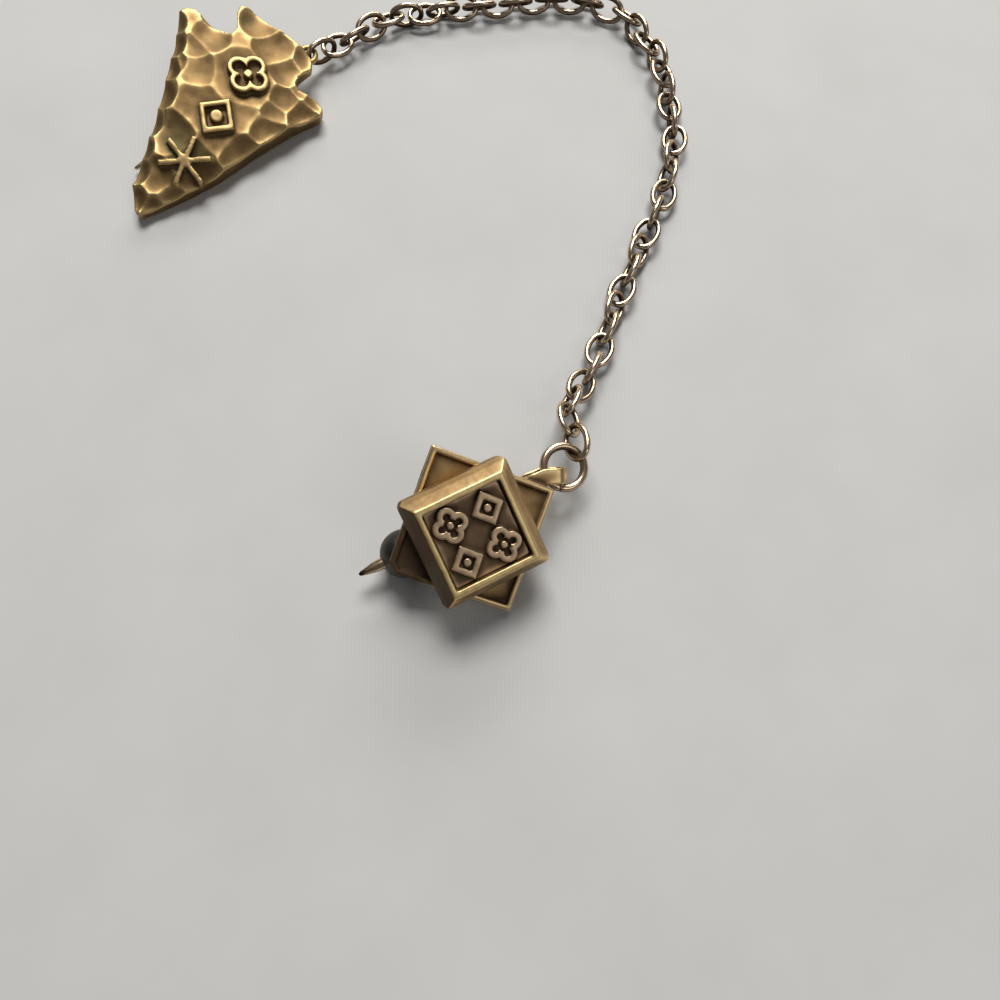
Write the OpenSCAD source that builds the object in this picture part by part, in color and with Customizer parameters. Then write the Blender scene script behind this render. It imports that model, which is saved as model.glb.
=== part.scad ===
// Badge pin with a chain and a guard, lying on a flat surface as it was put down.
// An arrowhead badge of cast brass hangs on a cable chain with a square guard pin on a star plate.
// Lengths are in mm, +Z is up, and the surface is at Z = 0.

/* [Arrowhead] */
// Scale of the arrowhead's outline, 1 is 20.4 long and 14.3 wide
arrow_scale = 1; // [0.98:0.01:1.02]
// Thickness at the edge of the casting
arrow_edge = 1.3; // [1.2:0.05:1.4]
// Height of the dome over the edge
arrow_crown = 1.25; // [1.1:0.05:1.4]
// Radius of the dome
arrow_dome_r = 42; // [38:1:50]
// Height of the raised ornament over the dome
arrow_relief = 0.15; // [0.1:0.05:0.25]
// Width of the raised lines
arrow_line = 0.42; // [0.36:0.02:0.5]
// Lean of the arrowhead on its right-hand edge, in degrees
arrow_lean = 20; // [19:1:21]

/* [Pins behind] */
// Diameter of the arrowhead's pin
arrow_pin_d = 0.7; // [0.6:0.05:0.8]
// Distance of that pin from the edge that the arrowhead rests on
arrow_pin_off = 4.3; // [4.2:0.1:4.4]
// Diameter of the guard's pin
guard_pin_d = 0.8; // [0.7:0.05:0.9]
// Length of the cone at a pin's point
pin_point = 1.4; // [1.2:0.1:1.6]
// Clearance round a pin in its catch and joint
pin_gap = 0.06; // [0.05:0.01:0.08]

/* [Chain] */
// Number of links
link_count = 42; // [42:1:42]
// Length of a link over its ends
link_len = 3.25; // [3.2:0.01:3.3]
// Width of a link
link_wid = 2.35; // [2.3:0.01:2.4]
// Diameter of a link's wire
link_wire = 0.47; // [0.44:0.01:0.48]

/* [Jump ring] */
// Outer diameter of the ring between the chain and the guard
ring_od = 3.68; // [3.66:0.01:3.7]
// Diameter of its wire
ring_wire = 0.6; // [0.58:0.01:0.61]

/* [Guard] */
// Distance from the middle of the star plate to each of its points
star_reach = 6.45; // [6.3:0.05:6.6]
// Thickness of the star plate
star_t = 0.9; // [0.8:0.05:1]
// Distance from its middle to the left point, which is filed short over the catch
star_left = 6; // [5.9:0.05:6.1]
// Width of the raised rim round the star plate
star_rim = 0.4; // [0.3:0.05:0.5]
// Depth of the sunk field inside that rim
star_sink = 0.2; // [0.15:0.05:0.3]
// Side of the square frame at its foot
frame_w = 8; // [7.9:0.05:8.1]
// Side of the square frame at its top edge
frame_top_w = 6.4; // [6.3:0.05:6.5]
// Side of the window in the frame
window_w = 5.6; // [5.5:0.05:5.7]
// Height of the frame's upright wall
frame_wall = 1.2; // [1.1:0.05:1.3]
// Height of the slope over that wall
frame_slope = 1.4; // [1.3:0.05:1.5]
// Radius of the frame's corners
frame_corner = 0.55; // [0.4:0.05:0.7]
// Depth from the frame's top edge down to the panel
panel_depth = 0.6; // [0.5:0.05:0.7]
// Thickness of the panel
panel_t = 0.5; // [0.4:0.05:0.6]
// Height of the raised lines on the panel
panel_relief = 0.4; // [0.3:0.05:0.45]
// Width of the raised lines on the panel
panel_line = 0.42; // [0.36:0.02:0.46]
// Radius of the round catch
catch_r = 1.75; // [1.7:0.05:1.8]
// Lean of the guard towards the front, in degrees
guard_lean = 28.6; // [28:0.1:29]

/* [Hidden] */
$fn = 64;

// Clearance between two pieces that are set on each other
seat_gap = 0.03;

// Middle of the footprint, before it is moved to the origin
middle = [-7.363, 20.539];

// The arrowhead's point on the surface, and the direction of the edge that it rests on
arrow_at = [-30.36, 25.31];
arrow_heading = 36;
arrow_rest_line = 67.9;

// Distance from the arrowhead's point to the top of its dome
arrow_middle = 10.5;

// Outline of the arrowhead from its point to its base, a row for each corner
// [distance from the point, left edge, right edge]
ARROW_OUTLINE = [
    [0, -0.35, 0.35],
    [1.5, -1.5, 1.2],
    [3.8, -2.2, 2.35],
    [6.3, -3.0, 3.4],
    [9.6, -4.2, 4.35],
    [13.5, -5.8, 5.7],
    [16.2, -7.25, 7.0],
    [16.9, -7.0, 6.75],
    [17.2, -6.2, 5.9],
    [16.9, -4.2, 4.3],
    [17.2, -2.7, 3.7],
    [17.9, -2.65, 3.55],
    [19.3, -3.6, 3.9],
    [20.1, -3.85, 3.45],
    [20.4, -3.2, 2.4]
];

// Flaked hollows in the arrowhead's face, which meet in sharp ridges. The deep ones thin its edge.
// [across, distance from the point, radius, depth under the dome]
FLAKES = [
    [-0.9, 0.4, 1.8, 0.5],
    [1.3, 0.6, 2, 0.6],
    [2.4, 1.9, 2.6, 0.75],
    [-2.3, 2.6, 1.8, 0.9],
    [-0.2, 2.7, 4.2, 0.34],
    [-3.3, 4.3, 1.9, 1.15],
    [3.6, 4.7, 4, 0.85],
    [1.7, 5.2, 7.5, 0.42],
    [-4.1, 6.6, 2, 1.45],
    [-1.3, 6.6, 4.4, 0.56],
    [2.3, 8.6, 8, 0.36],
    [4.9, 8.6, 4.2, 0.8],
    [-4.7, 9, 2.2, 1.25],
    [-0.5, 10.3, 9, 0.46],
    [-5.4, 11.2, 1.9, 0.95],
    [2.2, 11.9, 9, 0.36],
    [4.9, 11.9, 3.2, 0.56],
    [-4.6, 12.3, 1.8, 0.34],
    [-2.8, 13, 4.6, 0.4],
    [-6.4, 13.3, 1.9, 1],
    [4.2, 13.8, 2.8, 0.38],
    [-4.4, 14.5, 2.6, 0.36],
    [-7.4, 14.9, 1.8, 0.85],
    [0.6, 15.2, 13, 0.44],
    [6.3, 15.2, 2.6, 0.5],
    [4.1, 15.5, 2.8, 0.44],
    [-4.1, 16.4, 4, 0.38],
    [4.5, 17.3, 2, 0.34],
    [6.2, 17.4, 2, 0.4],
    [2.8, 17.9, 3, 0.54],
    [-4.6, 18.2, 1.8, 0.85],
    [0.7, 19.2, 4, 0.48],
    [3.5, 20, 2.8, 0.4],
    [-1.8, 20.3, 3.2, 0.52]
];

// Middles of the three raised figures on the arrowhead
arrow_figures = [[0.55, 15.0], [0.75, 10.25], [0.85, 5.6]];

// The arrowhead's catch and joint, as distances along the edge that it rests on
arrow_catch_at = 5.6;
arrow_joint_at = 15.2;
arrow_pin_tip_at = 1.95;
arrow_lug_r = 0.55;
arrow_lug_len = 1.1;

// How far the right-hand edge bulges past the line that it leans on, which lifts that line
arrow_bulge = arrow_scale * max([for (row = ARROW_OUTLINE)
    row[2] * sin(arrow_rest_line) - row[0] * cos(arrow_rest_line)]);
arrow_lug_z = (arrow_lug_r - (arrow_pin_off + arrow_bulge) * sin(arrow_lean)) / cos(arrow_lean);

// Eye at the arrowhead's base, for the first link
eye_at = [2.54, 20.74, -0.12];
eye_r = 0.68;
eye_wire = 0.46;

// Route of the chain, a row for each stretch
// [link, across, away, lift over the surface, twist in degrees]
ROUTE = [
    [1, -15.98, 42.18, 0.5, -185],
    [2, -14.7, 43.3, 0.32, -166],
    [3, -13.25, 44.5, 0.1, -148],
    [5, -10.3, 46.8, 0, -110],
    [9, -3.6, 48.1, 0, -50],
    [14, 4.8, 49.2, 0, -45],
    [16, 8.1, 48.8, 0, -50],
    [18, 11.7, 47.1, 0, -35],
    [19, 12.5, 45.4, 0, -32],
    [21, 14.2, 42.2, 0, -25],
    [23, 14.8, 38.4, 0, -20],
    [26, 15.1, 32.8, 0, 10],
    [29, 13.8, 27.0, 0, 80],
    [31, 12.1, 23.1, 0, 100],
    [34, 9.8, 17.6, 0, 190],
    [37, 7.8, 12.2, 0, 270],
    [38, 7.15, 10.4, 0.1, 260],
    [39, 6.2, 8.75, 0.45, 250],
    [40, 5.3, 7.15, 0.95, 240],
    [41, 5.09, 5.4, 1.53, 228],
    [42, 5.54, 3.37, 1.98, 222]
];

// Height of a link's middle when it lies flat, and how much more when it stands on edge
link_flat_z = 0.905;
link_stand_z = (link_wid - link_wire) / 2 + link_wire / 2 - link_flat_z;

// The jump ring's middle and the tilt of its plane
ring_at = [4.6, 1.48, 2.87];
ring_tilt = [12.2, 14.3, 0];

// The guard's middle on the surface, its direction, and the turn of the star in its own plane
guard_at = [-2.09, -3.21];
guard_turn = 23.2;
guard_spin = 3.7;
guard_back_z = star_reach * sin(guard_lean) * cos(guard_spin);

// Middles of the catch and the joint on the guard's back, and the pin's height under it
catch_at = [-4.85, 0.12];
joint_at = [3.4, 0.2];
joint_r = 1;
joint_len = 1.7;
catch_z = -(guard_height(catch_at) - catch_r) / cos(guard_lean);
joint_z = -(guard_height(joint_at - [joint_len / 2, 0]) - joint_r) / cos(guard_lean);
guard_pin_z = -1.2;
guard_pin_v = 0.2;
guard_pin_tip = -8.35;

// Strap loop on the guard's right-hand point, for the jump ring
bail_end = [7.96, 0.31];
bail_z = -0.7;
bail_dir = -22;
bail_w = 1.15;
bail_t = 0.26;
bail_hole_h = 1.2;
bail_hole_len = 3.0;
bail_taper = 1.7;
bail_foot_w = 0.55;

// Middles of the four raised figures on the panel
figure_step = 1.36;

brass = [0.72, 0.58, 0.30];
pale_gold = [0.80, 0.68, 0.42];
dark_brass = [0.33, 0.26, 0.14];
gunmetal = [0.20, 0.22, 0.25];

function link_name(n) = str("link_", n < 10 ? "0" : "", n);
function column(k) = [for (row = ROUTE) [row[0], row[k]]];
function link_roll(n) = lookup(n, column(4)) + 90 * (n % 2);
function link_at(n) = [lookup(n, column(1)), lookup(n, column(2)),
    link_flat_z + link_stand_z * abs(sin(link_roll(n))) + lookup(n, column(3))];
function link_run(n) = link_at(min(n + 1, link_count)) - link_at(max(n - 1, 1));

// Height of the arrowhead's dome over its back
function dome_height(p) = arrow_edge + arrow_crown
    - (p[0] * p[0] + pow(p[1] - arrow_middle, 2)) / (2 * arrow_dome_r);

// Height over the surface of a point on the guard's back
function guard_height(p) = guard_back_z
    + sin(guard_lean) * (p[0] * sin(guard_spin) + p[1] * cos(guard_spin));

module in_place() {
    translate([-middle[0], -middle[1], 0]) children();
}

module arrow_pose() {
    in_place() translate([arrow_at[0], arrow_at[1], arrow_bulge * sin(arrow_lean)]) rotate([0, 0, arrow_heading])
        rotate([arrow_lean, 0, 0]) rotate([0, 0, -arrow_rest_line]) children();
}

module guard_pose() {
    in_place() translate([guard_at[0], guard_at[1], guard_back_z])
        rotate([guard_lean, 0, guard_turn]) rotate([0, 0, guard_spin]) children();
}

module torus(ring_r, wire_d, arc = 360) {
    rotate_extrude(angle = arc) translate([ring_r, 0]) circle(d = wire_d);
}

// Four round lobes joined to one outline, of the given reach and line width
module four_lobes(reach, line) {
    lobe_r = reach * 0.52;
    difference() {
        for (a = [0:90:270]) rotate(a) translate([reach - lobe_r, 0]) circle(r = lobe_r);
        for (a = [0:90:270]) rotate(a) translate([reach - lobe_r, 0]) circle(r = lobe_r - line);
        circle(r = reach * 0.36);
    }
    circle(r = reach * 0.2);
}

// Lozenge outline with a round pellet in it
module lozenge(half_w, half_h, line) {
    slant = line * norm([half_w, half_h]);
    in_w = half_w - slant / half_h;
    in_h = half_h - slant / half_w;
    difference() {
        polygon([[half_w, 0], [0, half_h], [-half_w, 0], [0, -half_h]]);
        polygon([[in_w, 0], [0, in_h], [-in_w, 0], [0, -in_h]]);
    }
    circle(r = in_w * 0.45);
}

// Six rays from three crossed bars
module six_rays(reach, line) {
    for (a = [30:60:150]) rotate(a) square([2 * reach, line], center = true);
}

module arrow_outline() {
    scale(arrow_scale) polygon(concat(
        [for (row = ARROW_OUTLINE) [row[2], row[0]]],
        [for (i = [len(ARROW_OUTLINE) - 1:-1:0]) [ARROW_OUTLINE[i][1], ARROW_OUTLINE[i][0]]]));
}

module arrow_dome(rise) {
    translate([0, arrow_middle, arrow_edge + arrow_crown + rise - arrow_dome_r]) sphere(r = arrow_dome_r, $fn = 180);
}

module arrow_figures() {
    translate(arrow_figures[0]) four_lobes(1.85, arrow_line);
    translate(arrow_figures[1]) lozenge(1.75, 1.9, arrow_line);
    translate(arrow_figures[2]) rotate(12) six_rays(2.15, arrow_line);
}

// Along and square to the edge that the arrowhead rests on, seen in the arrowhead's own plane
module on_rest_line(along, off) {
    rotate([0, 0, arrow_rest_line]) translate([along, off, 0]) children();
}

module arrow_lug(along) {
    on_rest_line(along, arrow_pin_off) {
        translate([-arrow_lug_len / 2, 0, arrow_lug_z]) rotate([0, 90, 0])
            cylinder(r = arrow_lug_r, h = arrow_lug_len);
        translate([-arrow_lug_len / 2, -arrow_lug_r, arrow_lug_z])
            cube([arrow_lug_len, 2 * arrow_lug_r, 0.3 - arrow_lug_z]);
    }
}

module arrowhead() {
    color(brass) arrow_pose() {
        difference() {
            intersection() {
                linear_extrude(arrow_edge + arrow_crown + 1) arrow_outline();
                arrow_dome(0);
            }
            for (f = FLAKES) translate([f[0], f[1], dome_height(f) - f[3] + f[2]]) sphere(r = f[2]);
        }
        intersection() {
            translate([0, 0, 0.6]) linear_extrude(arrow_edge + arrow_crown + 1) arrow_figures();
            arrow_dome(arrow_relief);
        }
        difference() {
            union() {
                arrow_lug(arrow_catch_at);
                arrow_lug(arrow_joint_at);
            }
            on_rest_line(arrow_pin_tip_at, arrow_pin_off) translate([0, 0, arrow_lug_z]) rotate([0, 90, 0])
                cylinder(d = arrow_pin_d + 2 * pin_gap, h = arrow_joint_at - arrow_pin_tip_at + 0.2);
        }
        arrow_eye();
    }
}

module arrow_eye() {
    translate(eye_at) torus(eye_r, eye_wire);
}

module arrowhead_pin() {
    color(pale_gold) arrow_pose() on_rest_line(arrow_pin_tip_at, arrow_pin_off)
        translate([0, 0, arrow_lug_z]) rotate([0, 90, 0]) pin(arrow_pin_d, arrow_joint_at - arrow_pin_tip_at);
}

// Pin of the given length along +Z, with its point at the start
module pin(d, len) {
    cylinder(d1 = 0.2, d2 = d, h = pin_point);
    translate([0, 0, pin_point]) cylinder(d = d, h = len - pin_point);
}

module chain_link() {
    bend_r = (link_wid - link_wire) / 2;
    straight = link_len - link_wid;
    for (side = [-1, 1]) {
        translate([side * straight / 2, 0, 0]) rotate([0, 0, side * -90]) torus(bend_r, link_wire, 180);
        translate([-straight / 2, side * bend_r, 0]) rotate([0, 90, 0]) cylinder(d = link_wire, h = straight);
    }
}

module link(n) {
    run = link_run(n);
    color(pale_gold) in_place() translate(link_at(n))
        rotate([0, -asin(run[2] / norm(run)), atan2(run[1], run[0])])
        rotate([link_roll(n), 0, 0]) chain_link();
}

module jump_ring() {
    color(pale_gold) in_place() translate(ring_at) rotate(ring_tilt) torus((ring_od - ring_wire) / 2, ring_wire);
}

module star_outline(rim) {
    reach = star_reach - rim * sqrt(2);
    intersection() {
        rotate(45) square(reach * sqrt(2), center = true);
        translate([rim - star_left, -star_reach]) square(2 * star_reach);
    }
}

module stadium(len, h) {
    square([len - h, h], center = true);
    for (side = [-1, 1]) translate([side * (len - h) / 2, 0]) circle(d = h);
}

module bail() {
    len = bail_hole_len + 2 * bail_t;
    h = bail_hole_h + 2 * bail_t;
    translate([bail_end[0], bail_end[1], bail_z]) rotate([0, 0, bail_dir]) translate([-len / 2, bail_w / 2, 0])
        intersection() {
            rotate([90, 0, 0]) linear_extrude(bail_w) difference() {
                stadium(len, h);
                stadium(bail_hole_len, bail_hole_h);
            }
            translate([-len / 2, -bail_w, -h]) linear_extrude(2 * h)
                polygon([[-1, -1], [len + 1, -1], [len + 1, bail_w], [bail_taper, bail_w], [0, bail_foot_w]]);
        }
}

module guard_star() {
    color(brass) guard_pose() {
        difference() {
            linear_extrude(star_t) star_outline(0);
            translate([0, 0, star_t - star_sink]) linear_extrude(star_t)
                star_outline(star_rim);
        }
        bail();
        difference() {
            translate([joint_at[0] - joint_len / 2, joint_at[1], joint_z]) {
                rotate([0, 90, 0]) cylinder(r = joint_r, h = joint_len);
                translate([0, -joint_r, 0]) cube([joint_len, 2 * joint_r, 0.1 - joint_z]);
            }
            guard_pin_way(joint_at[0] + joint_len / 2 - 0.3);
        }
    }
}

// Space for the guard's pin, from outside its point to the given place
module guard_pin_way(to) {
    translate([guard_pin_tip, guard_pin_v, guard_pin_z]) rotate([0, 90, 0])
        cylinder(d = guard_pin_d + 2 * pin_gap, h = to - guard_pin_tip);
}

module guard_pin() {
    color(pale_gold) guard_pose() translate([guard_pin_tip, guard_pin_v, guard_pin_z]) rotate([0, 90, 0])
        pin(guard_pin_d, joint_at[0] + joint_len / 2 - 0.35 - guard_pin_tip);
}

module guard_catch() {
    color(gunmetal) guard_pose() difference() {
        translate([catch_at[0], catch_at[1], catch_z]) sphere(r = catch_r);
        translate([catch_at[0] - 3, catch_at[1] - 3, -seat_gap]) cube(6);
        guard_pin_way(0);
    }
}

// Frame's section across the guard, from its foot to its top edge
module frame_section() {
    foot = star_t + seat_gap;
    wall = foot + frame_wall;
    top = wall + frame_slope;
    half = frame_w / 2;
    shoulder = (frame_w * 0.7 + frame_top_w * 0.3) / 2;
    polygon([[half, foot], [half, wall], [shoulder, wall + frame_slope * 0.42], [frame_top_w / 2, top],
        [-frame_top_w / 2, top], [-shoulder, wall + frame_slope * 0.42], [-half, wall], [-half, foot]]);
}

module frame_bar() {
    translate([0, frame_w, 0]) rotate([90, 0, 0]) linear_extrude(2 * frame_w) frame_section();
}

module guard_frame() {
    half = frame_w / 2 - frame_corner;
    top = star_t + seat_gap + frame_wall + frame_slope;
    ledge = top - panel_depth - panel_t;
    color(brass) guard_pose() difference() {
        intersection() {
            frame_bar();
            rotate([0, 0, 90]) frame_bar();
            linear_extrude(top + 1) {
                square([frame_w, 2 * half], center = true);
                square([2 * half, frame_w], center = true);
                for (x = [-half, half], y = [-half, half]) translate([x, y]) circle(r = frame_corner);
            }
        }
        translate([-window_w / 2, -window_w / 2, ledge]) cube([window_w, window_w, 3]);
        translate([-window_w / 2 + 0.5, -window_w / 2 + 0.5, 0]) cube([window_w - 1, window_w - 1, 5]);
    }
}

module guard_panel() {
    top = star_t + seat_gap + frame_wall + frame_slope;
    side = window_w - 2 * seat_gap;
    floor = top - panel_depth;
    color(dark_brass) guard_pose() {
        translate([-side / 2, -side / 2, floor - panel_t + seat_gap]) cube([side, side, panel_t - seat_gap]);
        translate([0, 0, floor - 0.2]) linear_extrude(panel_relief + 0.2) {
            for (s = [-1, 1]) {
                translate([-s * figure_step, s * figure_step]) four_lobes(1.27, panel_line);
                translate([s * figure_step, s * figure_step]) lozenge(1.2, 1.27, panel_line);
            }
        }
    }
}

arrowhead();
arrowhead_pin();
for (n = [1:link_count]) link(n);
jump_ring();
guard_star();
guard_frame();
guard_panel();
guard_catch();
guard_pin();
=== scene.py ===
import bpy
import bmesh
import math
import numpy as np
from mathutils import Matrix, Vector, noise


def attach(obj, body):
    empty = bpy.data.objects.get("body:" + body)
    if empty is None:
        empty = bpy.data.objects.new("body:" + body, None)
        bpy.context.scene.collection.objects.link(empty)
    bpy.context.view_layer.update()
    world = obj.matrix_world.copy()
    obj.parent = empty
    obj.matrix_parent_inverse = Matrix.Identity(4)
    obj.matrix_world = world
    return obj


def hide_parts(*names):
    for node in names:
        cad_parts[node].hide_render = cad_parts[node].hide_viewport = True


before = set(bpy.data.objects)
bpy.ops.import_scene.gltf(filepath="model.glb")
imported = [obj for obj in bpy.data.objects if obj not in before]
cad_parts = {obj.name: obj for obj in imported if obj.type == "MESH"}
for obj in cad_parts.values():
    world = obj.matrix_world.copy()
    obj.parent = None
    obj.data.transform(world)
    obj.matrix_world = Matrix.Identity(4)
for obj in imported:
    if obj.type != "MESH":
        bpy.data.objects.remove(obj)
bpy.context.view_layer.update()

# Arrowhead badge. Lost-wax casting in brass, copied from a flaked stone point, with an antique gold
# finish: the hollows keep their brown patina and the ridges are worn bright. Its raised figures, the
# lugs for the pin and the eye for the chain are one piece with it.
ARROW_PLACE = (-22.997, 4.771, 0.2668)
ARROW_HEADING = math.radians(36)
ARROW_LEAN = math.radians(20)
ARROW_REST_LINE = math.radians(67.9)
ARROW_POSE = (Matrix.Translation(ARROW_PLACE) @ Matrix.Rotation(ARROW_HEADING, 4, "Z")
              @ Matrix.Rotation(ARROW_LEAN, 4, "X") @ Matrix.Rotation(-ARROW_REST_LINE, 4, "Z"))
TO_MM = Matrix.Scale(1000, 4)
TO_METRES = Matrix.Scale(0.001, 4)
SAME_POINT = 2e-6
UPRIGHT_BELOW = 0.45


def finished(mesh, name, node):
    """New piece that stands for a CAD node and lies still with the rest."""
    piece = bpy.data.objects.new(name, mesh)
    bpy.context.collection.objects.link(piece)
    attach(piece, "root")
    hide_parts(node)
    return piece


def casting(node, name, pose, grain, rounds):
    """Evenly remeshed and softened copy of a CAD node, as cast metal has no sharp edges. The grain is in
    millimetres, in the piece's own frame."""
    bm = bmesh.new()
    bm.from_mesh(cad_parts[node].data)
    bmesh.ops.remove_doubles(bm, verts=bm.verts, dist=SAME_POINT)
    bmesh.ops.transform(bm, matrix=pose.inverted() @ TO_MM, verts=bm.verts)
    raw = bpy.data.meshes.new(name + "_raw")
    bm.to_mesh(raw)
    bm.free()
    blank = bpy.data.objects.new(name + "_raw", raw)
    bpy.context.collection.objects.link(blank)
    even = blank.modifiers.new("even", "REMESH")
    even.mode = "VOXEL"
    even.voxel_size = grain
    even.use_smooth_shade = True
    depsgraph = bpy.context.evaluated_depsgraph_get()
    mesh = bpy.data.meshes.new_from_object(blank.evaluated_get(depsgraph))
    bpy.data.objects.remove(blank)
    bpy.data.meshes.remove(raw)
    bm = bmesh.new()
    bm.from_mesh(mesh)
    for _ in range(rounds):
        bmesh.ops.smooth_vert(bm, verts=bm.verts, factor=0.5,
                              use_axis_x=True, use_axis_y=True, use_axis_z=True)
    bm.to_mesh(mesh)
    bm.free()
    mesh.name = name
    for face in mesh.polygons:
        face.use_smooth = True
    return finished(mesh, name, node)


def uneven(piece, reach, depth, seed):
    """Shallow unevenness of a hand-finished surface, in millimetres."""
    shift = Vector((seed * 7.1, seed * 3.3, seed * 5.7))
    normals = [v.normal.copy() for v in piece.data.vertices]
    for v, n in zip(piece.data.vertices, normals):
        v.co += n * depth * noise.noise(v.co / reach + shift)


def mark_hollows(piece, rounds, depth, walls):
    """Writes how deep each point lies under its surroundings, from 0 on a ridge to 1 at the bottom of a dip.
    Upright sides and undersides count as deeper by the given share, which stands partly for tarnish and
    partly for painted shade."""
    mesh = piece.data
    count = len(mesh.vertices)
    points = np.empty(count * 3)
    normals = np.empty(count * 3)
    ends = np.empty(len(mesh.edges) * 2, dtype=np.int64)
    mesh.vertices.foreach_get("co", points)
    mesh.vertices.foreach_get("normal", normals)
    mesh.edges.foreach_get("vertices", ends)
    points, normals, ends = points.reshape(-1, 3), normals.reshape(-1, 3), ends.reshape(-1, 2)
    near = np.maximum(np.bincount(ends.ravel(), minlength=count), 1)[:, None]

    def spread(values):
        total = np.zeros_like(values)
        for k in range(values.shape[1]):
            total[:, k] = (np.bincount(ends[:, 0], values[ends[:, 1], k], count)
                           + np.bincount(ends[:, 1], values[ends[:, 0], k], count))
        return total / near

    level = points
    for _ in range(rounds):
        level = spread(level)
    sunk = ((level - points) * normals).sum(axis=1, keepdims=True)
    sunk = spread(spread(sunk)).ravel()
    # Partly painted shade: upright sides and undersides are darkened by the walls share, on top of any
    # tarnish there.
    upright = 1 - np.clip(normals[:, 2] / UPRIGHT_BELOW, 0, 1)
    mark = mesh.attributes.new("patina_and_shade", "FLOAT", "POINT")
    values = np.clip(0.5 + sunk / (2 * depth) + walls * upright, 0, 1)
    mark.data.foreach_set("value", values.astype(np.float32))


def placed(piece, pose):
    """Takes a piece from its own frame in millimetres to its place in metres."""
    piece.data.transform(TO_METRES @ pose)
    piece.data.update()


def shade(name):
    """Empty material with its shader."""
    material = bpy.data.materials.new(name)
    material.use_nodes = True
    nodes = material.node_tree.nodes
    return material, nodes, material.node_tree.links, nodes["Principled BSDF"]


def ramp(nodes, links, value, stops):
    """Colour ramp of (place, colour) stops over a value. A colour of one number is a grey."""
    node = nodes.new("ShaderNodeValToRGB")
    node.color_ramp.interpolation = "LINEAR"
    keys = node.color_ramp.elements
    while len(keys) < len(stops):
        keys.new(0.5)
    for key, (place, colour) in zip(keys, stops):
        key.position = place
        key.color = (*colour, 1) if len(colour) == 3 else (colour[0], colour[0], colour[0], 1)
    links.new(value, node.inputs["Fac"])
    return node.outputs["Color"]


def grain_of(nodes, links, size, detail, rough=0.6, stretch=(1, 1, 1)):
    """Noise over the object's own coordinates, with its size in millimetres."""
    where = nodes.new("ShaderNodeTexCoord")
    turn = nodes.new("ShaderNodeMapping")
    turn.inputs["Scale"].default_value = stretch
    speckle = nodes.new("ShaderNodeTexNoise")
    speckle.inputs["Scale"].default_value = 1000 / size
    speckle.inputs["Detail"].default_value = detail
    speckle.inputs["Roughness"].default_value = rough
    links.new(where.outputs["Object"], turn.inputs["Vector"])
    links.new(turn.outputs["Vector"], speckle.inputs["Vector"])
    return speckle.outputs["Fac"]


def blended(nodes, links, kind, factor, a, b):
    """Mix of two colours, each a socket or a colour."""
    mix = nodes.new("ShaderNodeMix")
    mix.data_type = "RGBA"
    mix.blend_type = kind
    for socket, value in ((mix.inputs[0], factor), (mix.inputs[6], a), (mix.inputs[7], b)):
        if isinstance(value, bpy.types.NodeSocket):
            links.new(value, socket)
        elif isinstance(value, (int, float)):
            socket.default_value = value
        else:
            socket.default_value = (*value, 1)
    return mix.outputs[2]


def sum_of(nodes, links, kind, a, b):
    """Two values added, taken away or multiplied, and kept from 0 to 1."""
    maths = nodes.new("ShaderNodeMath")
    maths.operation = kind
    maths.use_clamp = True
    for socket, value in ((maths.inputs[0], a), (maths.inputs[1], b)):
        if isinstance(value, bpy.types.NodeSocket):
            links.new(value, socket)
        else:
            socket.default_value = value
    return maths.outputs[0]


def bumped(nodes, links, shader, height, depth):
    """Fine relief from a grey value, with its depth in millimetres."""
    bump = nodes.new("ShaderNodeBump")
    bump.inputs["Distance"].default_value = depth / 1000
    bump.inputs["Strength"].default_value = 1
    links.new(height, bump.inputs["Height"])
    links.new(bump.outputs["Normal"], shader.inputs["Normal"])


VERDIGRIS = (0.13, 0.125, 0.06)


def antique_brass(name, bright, mid, dark, polish, dirt, relief=0.008):
    """Brass with a brown patina: bright where it is raised, dark where it is sunk or where painted shade is
    marked, and greenish in some hollows. Polish is the roughness of the bright metal, dirt the share of
    cloudy patches, and relief the depth of the skin's fine grain in millimetres."""
    material, nodes, links, shader = shade(name)
    mark = nodes.new("ShaderNodeAttribute")
    mark.attribute_name = "patina_and_shade"
    cloud = grain_of(nodes, links, 2.2, 4)
    fine = grain_of(nodes, links, 0.35, 5, 0.7)
    # The mark brings patina in hollows together with painted shade on shaded sides and undersides; cloud
    # patches add dirt.
    sunk = sum_of(nodes, links, "ADD", mark.outputs["Fac"],
                  sum_of(nodes, links, "MULTIPLY", sum_of(nodes, links, "SUBTRACT", cloud, 0.42), dirt))
    colour = ramp(nodes, links, sunk, [(0.22, bright), (0.5, mid), (0.9, dark)])
    green = ramp(nodes, links, grain_of(nodes, links, 5, 2), [(0.52, (0,)), (0.68, (0.6,))])
    green = sum_of(nodes, links, "MULTIPLY", green, ramp(nodes, links, sunk, [(0.45, (0,)), (0.7, (1,))]))
    colour = blended(nodes, links, "MIX", green, colour, VERDIGRIS)
    tint = ramp(nodes, links, fine, [(0.35, (0.88, 0.86, 0.82)), (0.65, (1, 1, 1))])
    links.new(blended(nodes, links, "MULTIPLY", 1.0, colour, tint), shader.inputs["Base Color"])
    rough = ramp(nodes, links, sunk, [(0.25, (polish,)), (0.55, (polish + 0.1,)), (0.9, (0.6,))])
    links.new(sum_of(nodes, links, "ADD", rough, sum_of(nodes, links, "MULTIPLY", fine, 0.1)),
              shader.inputs["Roughness"])
    metal = ramp(nodes, links, sunk, [(0.75, (1,)), (1.0, (0.7,))])
    links.new(metal, shader.inputs["Metallic"])
    skin = sum_of(nodes, links, "ADD", sum_of(nodes, links, "MULTIPLY", fine, 0.5),
                  sum_of(nodes, links, "MULTIPLY", cloud, 0.5))
    bumped(nodes, links, shader, skin, relief)
    return material


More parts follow.
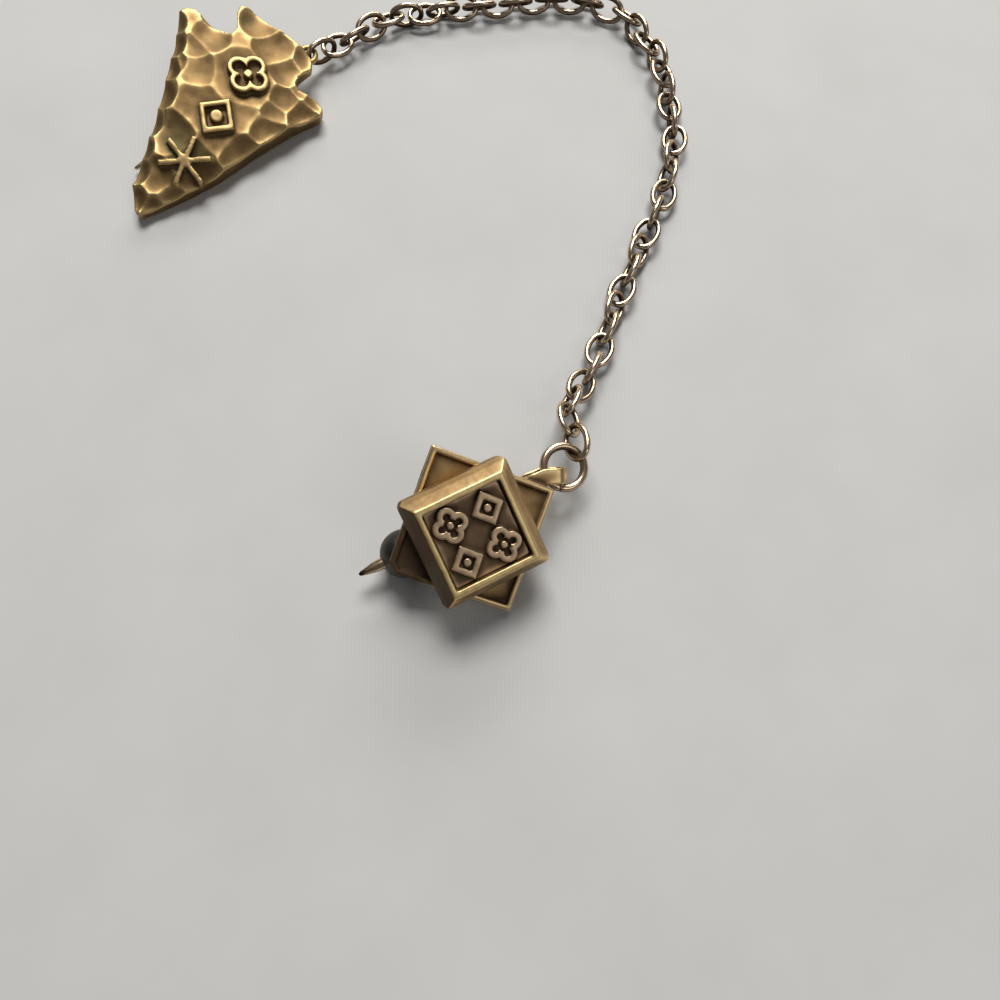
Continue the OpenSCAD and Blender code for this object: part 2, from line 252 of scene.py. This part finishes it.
arrowhead = casting("arrowhead", "arrowhead_casting", ARROW_POSE, grain=0.085, rounds=2)
uneven(arrowhead, reach=0.9, depth=0.035, seed=1)
mark_hollows(arrowhead, rounds=40, depth=0.11, walls=0.3)
placed(arrowhead, ARROW_POSE)
arrowhead.data.materials.append(antique_brass(
    "antique_gold_casting", bright=(0.60, 0.44, 0.205), mid=(0.37, 0.243, 0.108), dark=(0.19, 0.124, 0.057),
    polish=0.44, dirt=0.95, relief=0.016))

# Pin behind the badge. Hard-drawn brass wire, ground to a round point, that runs from the joint
# through the catch. Only its point shows past the arrowhead's edge.
PIN_TURNS = 24
PIN_CONE = 1.4
ARROW_PIN_RADIUS = 0.35
ARROW_PIN_LENGTH = 13.25
ARROW_PIN_TIP_AT = 1.95
ARROW_PIN_OFF = 4.3
ARROW_LUG_RADIUS = 0.55
ARROW_BULGE = 0.78


def turned_pin(name, node, radius, pose, length, dark_tip):
    """Round pin along +X from its point, turned from a profile, with its point tarnished up to dark_tip in
    millimetres."""
    profile = [(0, 0), (0.05, 0.1), (0.16, 0.16), (PIN_CONE * 0.5, radius * 0.72), (PIN_CONE, radius),
               (PIN_CONE * 1.6, radius), (length - 0.08, radius), (length, radius - 0.06), (length, 0)]
    bm = bmesh.new()
    rail = [bm.verts.new((x, 0, y)) for x, y in profile]
    edges = [bm.edges.new(pair) for pair in zip(rail, rail[1:])]
    bmesh.ops.spin(bm, geom=rail + edges, cent=(0, 0, 0), axis=(1, 0, 0), angle=math.tau, steps=PIN_TURNS,
                   use_merge=True)
    bmesh.ops.remove_doubles(bm, verts=bm.verts, dist=0.002)
    bmesh.ops.recalc_face_normals(bm, faces=bm.faces)
    mesh = bpy.data.meshes.new(name)
    bm.to_mesh(mesh)
    bm.free()
    for face in mesh.polygons:
        face.use_smooth = True
    piece = finished(mesh, name, node)
    mark = mesh.attributes.new("patina_and_shade", "FLOAT", "POINT")
    tarnish = [max(0, min(1, (dark_tip - v.co.x) / 0.3 + 0.5)) for v in mesh.vertices]
    mark.data.foreach_set("value", tarnish)
    placed(piece, pose)
    return piece


def drawn_brass(name, colour, shadow):
    """Drawn wire: fine lines along it, and tarnish in patches."""
    material, nodes, links, shader = shade(name)
    patch = grain_of(nodes, links, 0.7, 4)
    lines = grain_of(nodes, links, 0.12, 3, 0.5, (0.2, 1, 1))
    mark = nodes.new("ShaderNodeAttribute")
    mark.attribute_name = "patina_and_shade"
    tone = ramp(nodes, links, patch, [(0.38, shadow), (0.6, colour)])
    tone = blended(nodes, links, "MIX", mark.outputs["Fac"], tone, (0.02, 0.018, 0.016))
    streaks = ramp(nodes, links, lines, [(0.3, (0.7,)), (0.7, (1,))])
    links.new(blended(nodes, links, "MULTIPLY", 0.5, tone, streaks), shader.inputs["Base Color"])
    shader.inputs["Metallic"].default_value = 1
    links.new(ramp(nodes, links, patch, [(0.35, (0.4,)), (0.65, (0.22,))]), shader.inputs["Roughness"])
    bumped(nodes, links, shader, lines, 0.006)
    return material


ARROW_PIN_DEPTH = ((ARROW_LUG_RADIUS - (ARROW_PIN_OFF + ARROW_BULGE) * math.sin(ARROW_LEAN))
                   / math.cos(ARROW_LEAN))
ARROW_PIN_POSE = (ARROW_POSE @ Matrix.Rotation(ARROW_REST_LINE, 4, "Z")
                  @ Matrix.Translation((ARROW_PIN_TIP_AT, ARROW_PIN_OFF, ARROW_PIN_DEPTH)))
arrow_pin = turned_pin("arrowhead_wire", "arrowhead_pin", ARROW_PIN_RADIUS, ARROW_PIN_POSE,
                       ARROW_PIN_LENGTH, dark_tip=-0.2)
# Painted highlight: this wire is coloured lighter than the same drawn wire on the guard.
arrow_pin.data.materials.append(drawn_brass(
    "drawn_brass", colour=(0.95, 0.82, 0.60), shadow=(0.80, 0.64, 0.42)))

# Cable chain. Each link is round gilt wire wound to an oval, sawn off and soldered shut on one side,
# and it passes through the next one with a little play. Handling has polished it and left tarnish inside.
LINK_LENGTH = 3.25
LINK_WIDTH = 2.35
LINK_WIRE = 0.47
LINK_SIDES = 20
LINK_BEND = 0.78
LINK_END_STEPS = 16
LINK_SIDE_STEPS = 10
SEAM_AT = 0.05
SEAM_WIDTH = 0.1
SEAM_RISE = 0.05
LINK_HALF = (LINK_WIDTH - LINK_WIRE) / 2
LINK_END_AT = (LINK_LENGTH - LINK_WIRE) / 2 - LINK_BEND
LINK_SIDE = (LINK_HALF ** 2 + LINK_END_AT ** 2 - LINK_BEND ** 2) / (2 * (LINK_HALF - LINK_BEND))
LINK_MEET = math.atan2(LINK_SIDE - LINK_HALF, LINK_END_AT)


def wire_place(node):
    """Frame of a flat ring or link, from the shape of its CAD node: X along it, Z square to its plane."""
    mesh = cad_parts[node].data
    middles = np.array([(*face.center, face.area) for face in mesh.polygons])
    weight = middles[:, 3] / middles[:, 3].sum()
    centre = (middles[:, :3] * weight[:, None]).sum(axis=0)
    off = middles[:, :3] - centre
    values, vectors = np.linalg.eigh((off * weight[:, None]).T @ off)
    along, out = Vector(vectors[:, 2]), Vector(vectors[:, 0])
    if out.z < 0:
        out = -out
    if along.y < 0:
        along = -along
    across = out.cross(along)
    turn = Matrix((along, across, out)).transposed().to_4x4()
    return Matrix.Translation(Vector(centre) * 1000) @ turn


def bend_of_link(co):
    """Middle and radius of the bend that a point of a link's wire lies on: a tight end or a shallow side."""
    end = math.copysign(1, co.x)
    if abs(math.atan2(co.y, end * co.x - LINK_END_AT)) < LINK_MEET:
        return Vector((end * LINK_END_AT, 0, 0)), LINK_BEND
    return Vector((0, math.copysign(1, co.y) * (LINK_HALF - LINK_SIDE), 0)), LINK_SIDE


def oval_link(index):
    """Closed oval of round wire from four bends, with a soldered joint in one side and a little wear."""
    bm = bmesh.new()
    ring = bmesh.ops.create_circle(bm, segments=LINK_SIDES, radius=LINK_WIRE / 2)["verts"]
    bmesh.ops.rotate(bm, verts=ring, cent=(0, 0, 0), matrix=Matrix.Rotation(math.pi / 2, 3, "X"))
    bmesh.ops.translate(bm, verts=ring, vec=(LINK_END_AT + LINK_BEND, 0, 0))
    bmesh.ops.rotate(bm, verts=ring, cent=(LINK_END_AT, 0, 0), matrix=Matrix.Rotation(-LINK_MEET, 3, "Z"))
    last = ring + list(bm.edges)
    for side in (1, -1):
        end_bend = ((side * LINK_END_AT, 0, 0), 2 * LINK_MEET, LINK_END_STEPS)
        side_bend = ((0, side * (LINK_HALF - LINK_SIDE), 0), math.pi - 2 * LINK_MEET, LINK_SIDE_STEPS)
        for middle, angle, steps in (end_bend, side_bend):
            last = bmesh.ops.spin(bm, geom=last, cent=middle, axis=(0, 0, 1), angle=angle, steps=steps,
                                  use_merge=False)["geom_last"]
    bmesh.ops.remove_doubles(bm, verts=bm.verts, dist=0.004)
    bmesh.ops.recalc_face_normals(bm, faces=bm.faces)
    shift = Vector((index * 3.7, index * 1.9, 0))
    for v in bm.verts:
        middle, radius = bend_of_link(v.co)
        arm = Vector((v.co.x - middle.x, v.co.y - middle.y, 0)).normalized()
        skin = v.co - middle - arm * radius
        seam = math.exp(-((v.co.x - SEAM_AT) / SEAM_WIDTH) ** 2) if v.co.y > 0 else 0
        wear = 0.03 * noise.noise(v.co * 1.6 + shift) - 0.02 * abs(v.co.x) / 1.6
        v.co += skin * (SEAM_RISE * seam + wear)
    return bm


def gilt_wire(name, bright, mid, dark):
    """Gilt wire: polished outside, tarnished brown on the inside of the bends and in patches, with painted
    shade on the wire's sides and underside.
    """
    material, nodes, links, shader = shade(name)
    mark = nodes.new("ShaderNodeAttribute")
    mark.attribute_name = "patina_and_shade"
    cloud = grain_of(nodes, links, 1.3, 3)
    fine = grain_of(nodes, links, 0.18, 4, 0.7)
    sunk = sum_of(nodes, links, "ADD", mark.outputs["Fac"],
                  sum_of(nodes, links, "MULTIPLY", sum_of(nodes, links, "SUBTRACT", cloud, 0.45), 0.6))
    colour = ramp(nodes, links, sunk, [(0.2, bright), (0.5, mid), (0.85, dark)])
    tint = ramp(nodes, links, fine, [(0.35, (0.86, 0.84, 0.82)), (0.6, (1, 1, 1))])
    links.new(blended(nodes, links, "MULTIPLY", 1.0, colour, tint), shader.inputs["Base Color"])
    shader.inputs["Metallic"].default_value = 1
    rough = ramp(nodes, links, sunk, [(0.2, (0.24,)), (0.5, (0.32,)), (0.85, (0.5,))])
    links.new(rough, shader.inputs["Roughness"])
    bumped(nodes, links, shader, fine, 0.005)
    return material


def mark_tarnish_and_shade(piece, place, bend_of, wire):
    """Marks tarnish on the inside of a ring's bends, none on its rubbed outside, together with painted shade
    that grows from 0 on the top of the wire to 1 on its underside."""
    turn = place.to_3x3()
    mark = piece.data.attributes.new("patina_and_shade", "FLOAT", "POINT")
    values = []
    for v in piece.data.vertices:
        middle, radius = bend_of(v.co)
        inside = (radius - math.hypot(v.co.x - middle.x, v.co.y - middle.y)) / wire
        # Painted shade: one minus the upward part of the normal darkens the wire's sides and underside.
        values.append(max(0, min(1, 0.5 * inside + 1.0 * (1 - (turn @ v.normal).z))))
    mark.data.foreach_set("value", values)


chain_metal = gilt_wire("gilt_wire", bright=(0.80, 0.645, 0.46), mid=(0.49, 0.35, 0.235),
                        dark=(0.07, 0.046, 0.03))
link_nodes = sorted(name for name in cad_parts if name.startswith("link_"))
for index, node in enumerate(link_nodes):
    bm = oval_link(index)
    mesh = bpy.data.meshes.new("gilt_" + node)
    bm.to_mesh(mesh)
    bm.free()
    for face in mesh.polygons:
        face.use_smooth = True
    link = finished(mesh, "gilt_" + node, node)
    link_place = wire_place(node)
    # Tarnish inside the bends, and painted shade darkening each link's wire towards its underside.
    mark_tarnish_and_shade(link, link_place, bend_of_link, LINK_WIRE)
    placed(link, link_place)
    link.data.materials.append(chain_metal)

# Jump ring between the last link and the guard's loop. Heavier round wire, bent to a circle and left
# open with its two sawn ends pressed together.
RING_REACH = 1.54
RING_WIRE = 0.6
RING_SIDES = 24
RING_STEPS = 84
RING_GAP = math.radians(1.6)
RING_CUT = math.radians(-100)
CHAMFER = 0.03
CHAMFER_LENGTH = 0.06

bm = bmesh.new()
rim = bmesh.ops.create_circle(bm, cap_ends=True, segments=RING_SIDES, radius=RING_WIRE / 2 - CHAMFER)["verts"]
bmesh.ops.rotate(bm, verts=rim, cent=(0, 0, 0), matrix=Matrix.Rotation(math.pi / 2, 3, "X"))
bmesh.ops.translate(bm, verts=rim, vec=(RING_REACH, 0, 0))
bmesh.ops.spin(bm, geom=list(bm.faces), cent=(0, 0, 0), axis=(0, 0, 1), angle=math.tau - RING_GAP,
               steps=RING_STEPS, use_merge=False)
full = RING_WIRE / 2 / (RING_WIRE / 2 - CHAMFER)
for v in bm.verts:
    arm = Vector((v.co.x, v.co.y, 0))
    core = arm.normalized() * RING_REACH
    turn = math.atan2(v.co.y, v.co.x) % math.tau
    from_end = min(turn, math.tau - RING_GAP - turn) * RING_REACH
    size = 1 + (full - 1) * min(1, max(0, from_end / CHAMFER_LENGTH))
    v.co = core + (v.co - core) * size * (1 + 0.015 * noise.noise(v.co * 1.2))
bmesh.ops.recalc_face_normals(bm, faces=bm.faces)
mesh = bpy.data.meshes.new("jump_ring_wire")
bm.to_mesh(mesh)
bm.free()
for face in mesh.polygons:
    face.use_smooth = len(face.vertices) == 4
jump_ring = finished(mesh, "jump_ring_wire", "jump_ring")
ring_place = wire_place("jump_ring")
ring_turn = math.atan2(ring_place[1][0], ring_place[0][0])
ring_place = ring_place @ Matrix.Rotation(RING_CUT - ring_turn, 4, "Z")
# Tarnish inside the bend, and painted shade darkening the ring's wire towards its underside.
mark_tarnish_and_shade(jump_ring, ring_place, lambda co: (Vector((0, 0, 0)), RING_REACH), RING_WIRE)
placed(jump_ring, ring_place)
jump_ring.data.materials.append(gilt_wire(
    "gilt_ring", bright=(0.80, 0.62, 0.43), mid=(0.50, 0.34, 0.22), dark=(0.06, 0.038, 0.025)))

# Guard's back plate. A square turned on its corners, stamped in brass with a raised rim, so that its
# points stand out behind the frame as a star. The strap loop and the pin's joint are soldered to it.
GUARD_PLACE = (5.273, -23.749, 3.0812)
GUARD_TURN = math.radians(23.2)
GUARD_LEAN = math.radians(28.6)
GUARD_SPIN = math.radians(3.7)
GUARD_POSE = (Matrix.Translation(GUARD_PLACE) @ Matrix.Rotation(GUARD_TURN, 4, "Z")
              @ Matrix.Rotation(GUARD_LEAN, 4, "X") @ Matrix.Rotation(GUARD_SPIN, 4, "Z"))
# Side of the guard, towards its catch, that is given painted shade.
SHADED_SIDE = Vector((-1, 0, 0))


def paint_shade_on_side(piece, side, share, start=0, growth=0):
    """Adds painted shade to the mark on faces turned to one side, and, with growth, on all that lies past the
    start in millimetres towards that side."""
    mark = piece.data.attributes["patina_and_shade"].data
    for v in piece.data.vertices:
        painted_shade = share * max(0, v.normal.dot(side)) + growth * max(0, v.co.dot(side) - start)
        mark[v.index].value = min(1, mark[v.index].value + painted_shade)


star = casting("guard_star", "star_plate", GUARD_POSE, grain=0.065, rounds=4)
uneven(star, reach=1.1, depth=0.02, seed=2)
mark_hollows(star, rounds=60, depth=0.09, walls=0.3)
# Painted shade: the plate darkens on faces turned to the catch's side and increasingly past 2.8 mm towards
# it.
paint_shade_on_side(star, SHADED_SIDE, share=0.3, start=2.8, growth=0.4)
placed(star, GUARD_POSE)
star.data.materials.append(antique_brass(
    "antique_gold_plate", bright=(0.80, 0.60, 0.32), mid=(0.48, 0.32, 0.15), dark=(0.12, 0.075, 0.04),
    polish=0.32, dirt=0.6))

# Guard's frame. Cast square rim with two-step bevels outside and a narrow flat top round its window.
# The bevels are polished bright; the upright sides are darker, partly from tarnish and partly from painted
# shade, and the faces turned to the catch's side and to the front carry painted shade.
SHADED_FRONT = Vector((0.6, -0.8, 0))

border = casting("guard_frame", "bevelled_frame", GUARD_POSE, grain=0.06, rounds=4)
uneven(border, reach=1.4, depth=0.02, seed=3)
uneven(border, reach=0.4, depth=0.008, seed=7)
mark_hollows(border, rounds=60, depth=0.14, walls=0.25)
# Painted shade: faces turned to the catch's side darken strongly, those turned to the front a little.
paint_shade_on_side(border, SHADED_SIDE, share=1.1)
paint_shade_on_side(border, SHADED_FRONT, share=0.22)
placed(border, GUARD_POSE)
border.data.materials.append(antique_brass(
    "polished_bevel", bright=(0.90, 0.70, 0.35), mid=(0.63, 0.42, 0.205), dark=(0.13, 0.078, 0.044),
    polish=0.38, dirt=0.4))

# Guard's panel. Separate brass plate with raised figures, its field oxidised almost black and the
# rounded tops of the figures rubbed clean.
panel = casting("guard_panel", "figured_panel", GUARD_POSE, grain=0.05, rounds=3)
uneven(panel, reach=0.6, depth=0.015, seed=4)
mark_hollows(panel, rounds=60, depth=0.12, walls=0)
placed(panel, GUARD_POSE)
panel.data.materials.append(antique_brass(
    "oxidised_panel", bright=(0.66, 0.49, 0.32), mid=(0.24, 0.16, 0.10), dark=(0.10, 0.066, 0.04),
    polish=0.36, dirt=0.3))

# Guard's catch. Gunmetal-coloured steel ball with a flat face against the plate and a bore for the pin.
catch = casting("guard_catch", "ball_catch", GUARD_POSE, grain=0.06, rounds=4)
uneven(catch, reach=1.0, depth=0.012, seed=5)
placed(catch, GUARD_POSE)
material, nodes, links, shader = shade("gunmetal_steel")
cloud = grain_of(nodes, links, 1.1, 4)
fine = grain_of(nodes, links, 0.15, 4, 0.7)
steel = ramp(nodes, links, cloud, [(0.35, (0.05, 0.047, 0.038)), (0.6, (0.09, 0.083, 0.066)),
                                   (0.8, (0.15, 0.125, 0.085))])
links.new(steel, shader.inputs["Base Color"])
shader.inputs["Metallic"].default_value = 0.9
links.new(ramp(nodes, links, fine, [(0.3, (0.38,)), (0.7, (0.5,))]), shader.inputs["Roughness"])
bumped(nodes, links, shader, fine, 0.004)
catch.data.materials.append(material)

# Guard's pin. The same drawn wire as behind the badge, slightly heavier, its ground point in the open.
GUARD_PIN_TIP = (-8.35, 0.2, -1.2)
GUARD_PIN_RADIUS = 0.4
GUARD_PIN_LENGTH = 12.25

guard_pin = turned_pin("guard_wire", "guard_pin", GUARD_PIN_RADIUS,
                       GUARD_POSE @ Matrix.Translation(GUARD_PIN_TIP), GUARD_PIN_LENGTH, dark_tip=0.45)
guard_pin.data.materials.append(drawn_brass(
    "drawn_brass_point", colour=(0.78, 0.58, 0.36), shadow=(0.34, 0.22, 0.12)))

# Table and light. Pale matt sheet under a large soft light from above and behind, with a dim room round it.
TABLE_HALF = 0.6

bm = bmesh.new()
bmesh.ops.create_grid(bm, x_segments=1, y_segments=1, size=TABLE_HALF)
mesh = bpy.data.meshes.new("table")
bm.to_mesh(mesh)
bm.free()
table = bpy.data.objects.new("table", mesh)
bpy.context.collection.objects.link(table)
material, nodes, links, shader = shade("pale_table")
sheet = ramp(nodes, links, grain_of(nodes, links, 14, 3),
             [(0.3, (0.60, 0.60, 0.59)), (0.7, (0.64, 0.64, 0.635))])
links.new(sheet, shader.inputs["Base Color"])
shader.inputs["Roughness"].default_value = 0.7
shader.inputs["Specular IOR Level"].default_value = 0.2
mesh.materials.append(material)


def soft_box(name, place, width, height, power, colour):
    """Rectangular soft light aimed at the middle of the table, with its sizes in metres."""
    data = bpy.data.lights.new(name, "AREA")
    data.shape = "RECTANGLE"
    data.size, data.size_y = width, height
    data.energy = power
    data.color = colour
    lamp = bpy.data.objects.new(name, data)
    lamp.location = place
    lamp.rotation_euler = (-Vector(place)).to_track_quat("-Z", "Y").to_euler()
    bpy.context.collection.objects.link(lamp)


soft_box("window", place=(0.03, 0.40, 0.62), width=0.40, height=0.32, power=4.7, colour=(1.0, 0.985, 0.96))
soft_box("low_window", place=(0.10, 0.72, 0.36), width=0.50, height=0.20, power=2.2, colour=(1.0, 0.96, 0.88))
soft_box("fill", place=(0.40, -0.30, 0.52), width=0.3, height=0.3, power=0.45, colour=(1.0, 0.96, 0.92))
world = bpy.data.worlds.new("room")
bpy.context.scene.world = world
world.use_nodes = True
world.node_tree.nodes["Background"].inputs["Color"].default_value = (0.08, 0.08, 0.082, 1)
world.node_tree.nodes["Background"].inputs["Strength"].default_value = 1
bpy.context.scene.view_settings.view_transform = "Standard"

# Camera over the front edge of the object, 20 degrees off straight down, as the photograph was taken.
camera_data = bpy.data.cameras.new("camera")
camera_data.sensor_width = 36
camera_data.lens = 30.6
camera_data.clip_start = 0.002
camera = bpy.data.objects.new("camera", camera_data)
camera.location = (0.007363, -0.04219, 0.05948)
camera.rotation_euler = (math.radians(20), 0, 0)
bpy.context.collection.objects.link(camera)
bpy.context.scene.camera = camera
